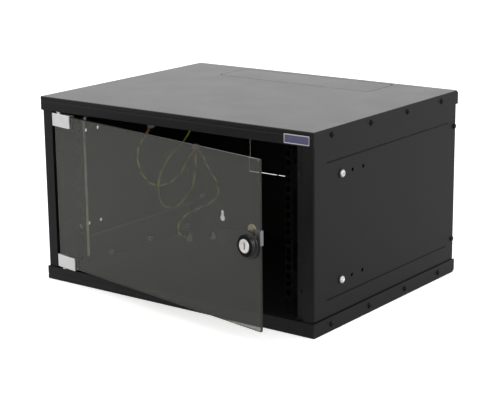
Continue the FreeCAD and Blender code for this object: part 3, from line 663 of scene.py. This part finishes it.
shape = bmesh.new()
bmesh.ops.create_grid(shape, x_segments=1, y_segments=1, size=0.5)
bmesh.ops.scale(shape, vec=(badge_size[0], badge_size[1], 1), verts=shape.verts)
bmesh.ops.bevel(shape, geom=shape.verts[:], offset=badge_corner, segments=5, profile=0.5,
                affect="VERTICES", material=-1)
sides = bmesh.ops.extrude_face_region(shape, geom=shape.faces[:])
raised = [v for v in sides["geom"] if isinstance(v, bmesh.types.BMVert)]
bmesh.ops.translate(shape, vec=(0, 0, badge_thick), verts=raised)
field = [f for f in shape.faces if on_top(f.calc_center_median())]
bmesh.ops.inset_region(shape, faces=field, thickness=badge_rim, depth=0)
bmesh.ops.inset_region(shape, faces=field, thickness=badge_sink, depth=-badge_sink)
for face in field:
    face.material_index = 1
rim = [e for e in shape.edges if len(e.link_faces) == 2 and e.calc_face_angle() > sharp
       and on_top(e.verts[0].co) and on_top(e.verts[1].co)]
bmesh.ops.bevel(shape, geom=rim, offset=badge_break, segments=2, profile=0.5, affect="EDGES", material=-1)
middle_of_badge = badge_low + Vector((badge_size[0] / 2, 0, badge_size[1] / 2))
place = Matrix(((1, 0, 0), (0, 0, 1), (0, -1, 0))).transposed().to_4x4()
place.translation = middle_of_badge
bmesh.ops.transform(shape, matrix=place, verts=shape.verts)
piece("badge_plate", shape, "carcass", (bright_rim, lacquer))

# ------------------------------------------------------------------ panel screws
# M5 pan head screws with a cross recess, in black oxide. They hold the trays to the side panels and
# the side panels to the rear panel, and turn in round press nuts on the inner sheet.


def recess(shape, lines, within, depth, taper):
    """Press a recess into the top of a head. lines are its edges, as axis and distance from the middle
    on both sides, and within tells from a spot's distances whether it lies in the recess."""
    bmesh.ops.recalc_face_normals(shape, faces=shape.faces)
    for axis, distance in lines:
        for side in (1, -1):
            way = Vector((0, 0, 0))
            way[axis] = side
            bmesh.ops.bisect_plane(shape, geom=shape.verts[:] + shape.edges[:] + shape.faces[:], dist=1e-6,
                                   plane_co=way * distance, plane_no=way)
    pressed = []
    for face in shape.faces:
        spot = face.calc_center_median()
        if face.normal.z > 0.5 and within(abs(spot.x), abs(spot.y)):
            pressed.append(face)
    sunk = bmesh.ops.extrude_face_region(shape, geom=pressed)
    bmesh.ops.delete(shape, geom=pressed, context="FACES")
    deep = [v for v in sunk["geom"] if isinstance(v, bmesh.types.BMVert)]
    bmesh.ops.scale(shape, vec=(taper, taper, 1), verts=deep)
    bmesh.ops.translate(shape, vec=(0, 0, -depth), verts=deep)


screw_tip = 0.0006              # length of the cone that starts a screw
thread_sink = 0.0001            # how far a thread's ridge reaches into its core


def pan_screw(head_r, head_h, shank_r, length):
    """A pan head screw on its seat at z = 0, its shank down and its cross recess up."""
    shape = turned([
        (0, head_h), (0.6 * head_r, head_h), (0.82 * head_r, 0.9 * head_h), (0.95 * head_r, 0.68 * head_h),
        (head_r, 0.42 * head_h), (head_r, 0.04 * head_h), (0.97 * head_r, 0), (shank_r, 0),
        (shank_r, screw_tip - length), (0.8 * shank_r, -length), (0, -length),
    ], steps=24)
    blade = 0.13 * head_r
    arm = 0.5 * head_r
    recess(shape, [(0, blade), (1, blade), (0, arm), (1, arm)],
           lambda x, y: max(x, y) < arm and min(x, y) < blade, 0.6 * head_h, 0.6)
    return shape


def thread(shape, radius, pitch, low, high):
    """Add a V thread round the z axis, as a ridge that winds up a core."""
    per_turn = 16
    depth = 0.6 * pitch
    half = pitch * 0.45
    foot = radius - depth - thread_sink
    corners = [shape.verts.new((r, 0, low + h)) for r, h in ((foot, -half), (radius, 0), (foot, half))]
    face = shape.faces.new(corners)
    turns = max(1, round((high - low) / pitch))
    bmesh.ops.spin(shape, geom=[face], cent=(0, 0, 0), axis=(0, 0, 1), dvec=(0, 0, pitch / per_turn),
                   angle=2 * math.pi * turns, steps=per_turn * turns)


black_oxide = finish("black_oxide", ((0.002, 0.002, 0.0022), (0.004, 0.004, 0.0042)), (0.24, 0.36), gloss=0.2,
                     grains=5000, patches=260, relief=0.00001, edge=(0.0002, (0.03, 0.03, 0.03)))
m5_head_r = 0.0048
m5_head_h = 0.0026
m5_r = 0.0025
m5_length = 0.0085
tray_screw_count = 4
random.seed(19)


def side_screws(seat_x, ys, zs):
    """Places of screws in both sides, each turned as the driver left it."""
    return [facing((side * seat_x, y, z), (side, 0, 0), random.uniform(0, math.pi))
            for side in (1, -1) for y in ys for z in zs]


for name, packed in (("cover_screws", "top_cover_screws"), ("tray_screws", "bottom_tray_screws"),
                     ("back_screws", "rear_panel_screws")):
    low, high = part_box(packed)
    seat_x = high.x - m5_head_h
    if packed == "rear_panel_screws":
        ys = [(low.y + high.y) / 2]
        zs = [low.z + m5_head_r, high.z - m5_head_r]
    else:
        first, last = low.y + m5_head_r, high.y - m5_head_r
        ys = [first + (last - first) * i / (tray_screw_count - 1) for i in range(tray_screw_count)]
        zs = [(low.z + high.z) / 2]
    shape = set_at(pan_screw(m5_head_r, m5_head_h, m5_r, m5_length), side_screws(seat_x, ys, zs))
    piece(name, shape, "carcass", (black_oxide,), [packed])

# ------------------------------------------------------------------ zinc fixings
# Press nuts, and the M6 screws, washers and nuts that clamp the rack rails through the side panels:
# steel in bright zinc, with the faint spangle of the bath. A black nylon cup washer saves the paint.
zinc = finish("zinc_plate", ((0.72, 0.73, 0.75), (0.86, 0.87, 0.88)), (0.2, 0.36), metal=0.5,
              grains=4200, patches=420, relief=0.00001, edge=(0.0003, (0.88, 0.88, 0.9)), marks=0.3)
nylon = finish("black_nylon", ((0.008, 0.008, 0.0085), (0.014, 0.014, 0.0145)), (0.34, 0.46),
               grains=3800, patches=180, relief=0.00002, edge=(0.0003, (0.03, 0.03, 0.03)))
coat(zinc, "clinch_nuts", "rail_washers")
coat(nylon, "rail_cup_washers")

m6_r = 0.003
m6_pitch = 0.001
m6_head_r = 0.006
m6_head_h = 0.0033
m6_length = 0.014
m6_plain = 0.004                # of the shank, above the thread
m6_nut_flats = 0.010
m6_nut_h = 0.005
low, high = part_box("rail_screws")
ys = [(low.y + high.y) / 2]
zs = [low.z + m6_head_r, high.z - m6_head_r]
shape = pan_screw(m6_head_r, m6_head_h, m6_r - 0.0004, m6_length)
thread(shape, m6_r, m6_pitch, screw_tip - m6_length, -m6_plain)
piece("rail_bolts", set_at(shape, side_screws(high.x - m6_head_h, ys, zs)), "carcass",
      (zinc,), ["rail_screws"])


def hex_nut(flats, height, bore):
    """A hexagon nut with its seat at z = 0, its corners cut back by the usual chamfer at both ends."""
    steps = 24
    face_r = 0.47 * flats
    bore_break = 0.0003
    chamfer = math.radians(30)
    shape = bmesh.new()
    first = bmesh.ops.create_circle(shape, segments=steps, radius=bore)["verts"]
    loop = each_once(e for v in first for e in v.link_edges)

    def hexagon(angle):
        off = (angle + math.pi / 6) % (math.pi / 3) - math.pi / 6
        return flats / 2 / math.cos(off)

    def cut_back(angle):
        return max(0.0, hexagon(angle) - face_r) * math.tan(chamfer)

    rings = (
        lambda a: (bore, height - bore_break), lambda a: (bore + bore_break, height),
        lambda a: (face_r, height), lambda a: (hexagon(a), height - cut_back(a)),
        lambda a: (hexagon(a), cut_back(a)), lambda a: (face_r, 0), lambda a: (bore, 0),
    )
    for ring in rings:
        drawn = bmesh.ops.extrude_edge_only(shape, edges=loop)["geom"]
        loop = [e for e in drawn if isinstance(e, bmesh.types.BMEdge) and e.is_boundary]
        for corner in each_once(v for e in loop for v in e.verts):
            angle = math.atan2(corner.co.y, corner.co.x)
            radius, level = ring(angle)
            corner.co = (radius * math.cos(angle), radius * math.sin(angle), level)
    bmesh.ops.remove_doubles(shape, verts=shape.verts, dist=1e-6)
    return shape


low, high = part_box("rail_nuts")
zs = [low.z + m6_nut_flats / 2, high.z - m6_nut_flats / 2]
middle_y = (low.y + high.y) / 2
places = [facing((side * high.x, middle_y, z), (-side, 0, 0), random.uniform(0, math.pi / 3))
          for side in (1, -1) for z in zs]
piece("rail_hex_nuts", set_at(hex_nut(m6_nut_flats, m6_nut_h, m6_r), places), "carcass",
      (zinc,), ["rail_nuts"])

# ------------------------------------------------------------------ earth studs
# Five M6 studs welded to the sheets, with bright washers and yellow-passivated nuts. The main stud on
# the rear flange carries three eyes, and the one in the middle of the tray is spare.
yellow_zinc = finish("yellow_passivate", ((0.86, 0.76, 0.50), (0.94, 0.86, 0.64)), (0.24, 0.4), metal=0.6,
                     grains=4200, patches=260, relief=0.00001, edge=(0.0003, (0.78, 0.72, 0.56)), marks=0.2)
coat(zinc, "earth_washers")
stud_length = 0.014
stud_core = m6_r - 0.0006
stud_thread = (0.0015, stud_length - 0.0008)    # heights where it starts and ends
# stud, way off the sheet and how many eyes it carries
studs = ((main_stud, (1, 0, 0), 3), (panel_stud, (1, 0, 0), 1), (cover_stud, (0, 0, -1), 1),
         (tray_stud, (0, 0, 1), 1), (spare_stud, (0, 0, 1), 0))
shape = turned([
    (0, 0), (m6_r, 0), (m6_r - 0.0001, 0.0008), (stud_core, 0.001), (stud_core, stud_length - 0.0004),
    (m6_r - 0.0012, stud_length), (0, stud_length),
], steps=24)
thread(shape, m6_r, m6_pitch, *stud_thread)
piece("threaded_studs", set_at(shape, [facing(seat, off, random.uniform(0, 6)) for seat, off, eyes in studs]),
      "carcass", (zinc,), ["earth_studs"])
places = []
for seat, off, eyes in studs:
    stack = washer_thick + (eyes * eye_thick + washer_thick if eyes else 0)
    places.append(facing(seat + Vector(off) * stack, off, random.uniform(0, math.pi / 3)))
piece("earth_hex_nuts", set_at(hex_nut(m6_nut_flats, m6_nut_h, m6_r), places), "carcass",
      (yellow_zinc,), ["earth_nuts"])

# ------------------------------------------------------------------ door glass
# One pane of 5 mm toughened float glass with ground edges and a drilled hole for the lock. It stands
# in two clips on the hinge side, and its free edge carries a folded metal angle. The glass has a smoke
# tint and the faintest haze, and the ground edges are matt, with painted shade that colours them near black.
lock_turn = [joint for joint in frame["joints"] if joint["name"] == "lock_turn"][0]
inward = Vector(lock_turn["axis"]).normalized()
glass_ior = 1.52
glass_clear = 0.965             # the rest is haze
smoke_tint = (0.445, 0.45, 0.41)
shadow_tint = (0.90, 0.88, 0.80, 1)
# painted shade: the near-black colour of the ground edges
ground_edge_shade = (0.03, 0.03, 0.026)
ground_rough = 0.45
ground_slant = (0.3, 0.6)       # how far a surface faces across the pane, where ground turns polished

glass, tree, bsdf = material("smoke_tinted_glass")
across = sums(tree, "ABSOLUTE", along(tree, add(tree, "TexCoord").outputs["Normal"], inward))
ground = spread(tree, across, *ground_slant, 1.0, 0.0)
fill(tree, bsdf, IOR=glass_ior, Transmission_Weight=glass_clear,
     Roughness=times(tree, ground, ground_rough),
     Base_Color=blend_colours(tree, ground, smoke_tint, ground_edge_shade))
clear = add(tree, "BsdfTransparent", Color=shadow_tint)
choose(tree, add(tree, "LightPath").outputs["Is Shadow Ray"], bsdf, clear)
coat(glass, "door_glass")

# ------------------------------------------------------------------ hinge clips
# Two die-cast clips in satin nickel grip the hinge edge of the glass between thin rubber pads, pressed
# by grub screws from behind. Their steel pins turn in white nylon bushes in the lips of the trays.
nickel = finish("brushed_nickel", ((0.80, 0.80, 0.81), (0.88, 0.88, 0.88)), (0.3, 0.42), metal=1.0,
                grains=3000, patches=70, relief=0.00001, edge=(0.0005, (0.95, 0.95, 0.95)), marks=0.4)
white_nylon = finish("natural_nylon", ((0.62, 0.62, 0.60), (0.72, 0.72, 0.70)), (0.36, 0.5),
                     grains=3800, patches=200, relief=0.00002)
rubber = finish("soft_rubber", ((0.006, 0.006, 0.006), (0.011, 0.011, 0.011)), (0.62, 0.82), gloss=0.3,
                grains=2600, patches=300, relief=0.00004, dust=0.15)
coat(nickel, "upper_hinge_clip", "lower_hinge_clip", "upper_pivot_pin", "lower_pivot_pin")
coat(white_nylon, "upper_pivot_bush", "lower_pivot_bush")
coat(rubber, "hinge_clip_pads", "door_buffers")
coat(zinc, "hinge_clip_screws")

# ------------------------------------------------------------------ cam lock
# A key-turned cam lock in the drilled hole: a black rosette and raised neck moulded in one with the
# threaded case, a rubber gasket, and a washer and flat nut behind the glass. The chromed plug has a
# broad head with a key slot, and turns a yellow-zinc cam that catches the lip of the post. Painted
# shade colours the deeper walls and floor of the slot dark brown.
glass_half = 0.0025
lock_place = Matrix((Vector((0, 0, 1)).cross(-inward), Vector((0, 0, 1)), -inward)).transposed().to_4x4()
lock_place.translation = Vector(lock_turn["pos_m"]) - inward * glass_half

case_black = finish("matt_black_case", ((0.0022, 0.0022, 0.0024), (0.0034, 0.0034, 0.0036)), (0.5, 0.62),
                    gloss=0.1, grains=3600, patches=150, relief=0.00002,
                    edge=(0.0003, (0.012, 0.012, 0.012)))
neck_black = finish("polished_black_neck", ((0.006, 0.006, 0.0065), (0.010, 0.010, 0.0105)),
                    (0.16, 0.26), gloss=0.6, grains=3600, patches=150, relief=0.00001)
chrome = finish("plug_chrome", ((0.88, 0.87, 0.86), (0.95, 0.94, 0.92)), (0.28, 0.42), metal=1.0,
                grains=3000, patches=160, relief=0.000006, edge=(0.0002, (0.95, 0.95, 0.95)), marks=0.4)
# painted shade: the dark brown of the key slot's deeper walls and floor
slot_painted_shade = finish("slot_brown_shade", ((0.20, 0.13, 0.09), (0.34, 0.23, 0.16)), (0.4, 0.6),
                   grains=4000, patches=900, relief=0.00002)

gasket_h = 0.0008
rosette_r = 0.0235
rosette_h = gasket_h + 0.002
neck_r = 0.0182
neck_h = rosette_h + 0.007
shank_r = 0.0109
shank_end = -0.0082
shank_core = shank_r - 0.0005
shank_pitch = 0.001
shank_thread = (shank_end + 0.0006, -0.0052)    # heights where it starts and ends
bore = 0.00805
dish_r = 0.0126
dish_floor = neck_h - 0.0010
shape = turned([
    (bore, shank_end), (shank_r - 0.0008, shank_end), (shank_core, shank_end + 0.0004),
    (shank_core, gasket_h), (rosette_r - 0.0002, gasket_h), (rosette_r, gasket_h + 0.0003),
    (rosette_r, rosette_h - 0.0008), (rosette_r - 0.0003, rosette_h - 0.0003),
    (rosette_r - 0.0009, rosette_h), (neck_r + 0.0014, rosette_h), (neck_r + 0.0005, rosette_h + 0.0003),
    (neck_r + 0.0001, rosette_h + 0.0010), (neck_r, neck_h - 0.0014), (neck_r - 0.0003, neck_h - 0.0006),
    (neck_r - 0.0011, neck_h), (0.0130, neck_h), (dish_r, neck_h - 0.0003), (dish_r, dish_floor),
    (bore, dish_floor),
], steps=64)
for face in shape.faces:
    spot = face.calc_center_median()
    on_side = math.hypot(spot.x, spot.y) > neck_r - 0.0002
    face.material_index = int(on_side and gasket_h + 0.0001 < spot.z < neck_h - 0.0002)
thread(shape, shank_r, shank_pitch, *shank_thread)
bmesh.ops.transform(shape, matrix=lock_place, verts=shape.verts)
piece("lock_case", shape, "door", (case_black, neck_black), ["lock_body"])
coat(rubber, "lock_gasket")
coat(nylon, "lock_washer")
coat(zinc, "lock_nut")

head_r = 0.0115
head_top = 0.0112
head_h = 0.0022
slot_half = (0.0014, 0.0058)
slot_depth = 0.0018
barrel_r = 0.008
plug_end = head_top + 0.0085
drive_half = 0.004
drive_length = 0.002
shape = turned([
    (0, -0.0011), (0.25 * head_r, -0.00103), (0.5 * head_r, -0.0008), (0.75 * head_r, -0.00042),
    (head_r - 0.0009, 0), (head_r - 0.0004, -0.0001), (head_r, -0.0006), (head_r, 0.0002 - head_h),
    (head_r - 0.0002, -head_h), (barrel_r, -head_h), (barrel_r, -plug_end), (0, -plug_end),
], steps=48)
recess(shape, [(0, slot_half[0]), (1, slot_half[1])],
       lambda x, y: x < slot_half[0] and y < slot_half[1], slot_depth, 0.96)
# the slot's deeper walls and floor take the painted shade
for face in shape.faces:
    reach = max(math.hypot(v.co.x, v.co.y) for v in face.verts)
    if -plug_end < face.calc_center_median().z < -0.0014 and reach < 0.0075:
        face.material_index = 1
block(shape, (-drive_half, -drive_half, -plug_end - drive_length), (drive_half, drive_half, -plug_end))
bmesh.ops.remove_doubles(shape, verts=shape.verts, dist=1e-6)
bmesh.ops.transform(shape, matrix=lock_place @ Matrix.Translation((0, 0, head_top)), verts=shape.verts)
piece("lock_plug", shape, "lock", (chrome, slot_painted_shade), ["lock_barrel"])

coat(yellow_zinc, "lock_cam")
cam_seat = -0.0085
cam_thick = 0.002
cam_screw_head_r = 0.0054
cam_screw_head_h = 0.0024
cam_screw_r = 0.0016
cam_screw_length = 0.0065
shape = pan_screw(cam_screw_head_r, cam_screw_head_h, cam_screw_r, cam_screw_length)
behind = lock_place @ Matrix.Translation((0, 0, cam_seat - cam_thick)) @ Matrix.Rotation(math.pi, 4, "X")
bmesh.ops.transform(shape, matrix=behind, verts=shape.verts)
piece("cam_fixing_screw", shape, "lock", (zinc,), ["lock_cam_screw"])

angle_metal = finish("dull_zinc_angle", ((0.26, 0.26, 0.28), (0.36, 0.36, 0.38)), (0.34, 0.5), metal=1.0,
                     grains=3600, patches=240, relief=0.00001, edge=(0.0003, (0.6, 0.6, 0.62)))
coat(angle_metal, "lock_edge_bracket")
coat(zinc, "lock_bracket_rivet")
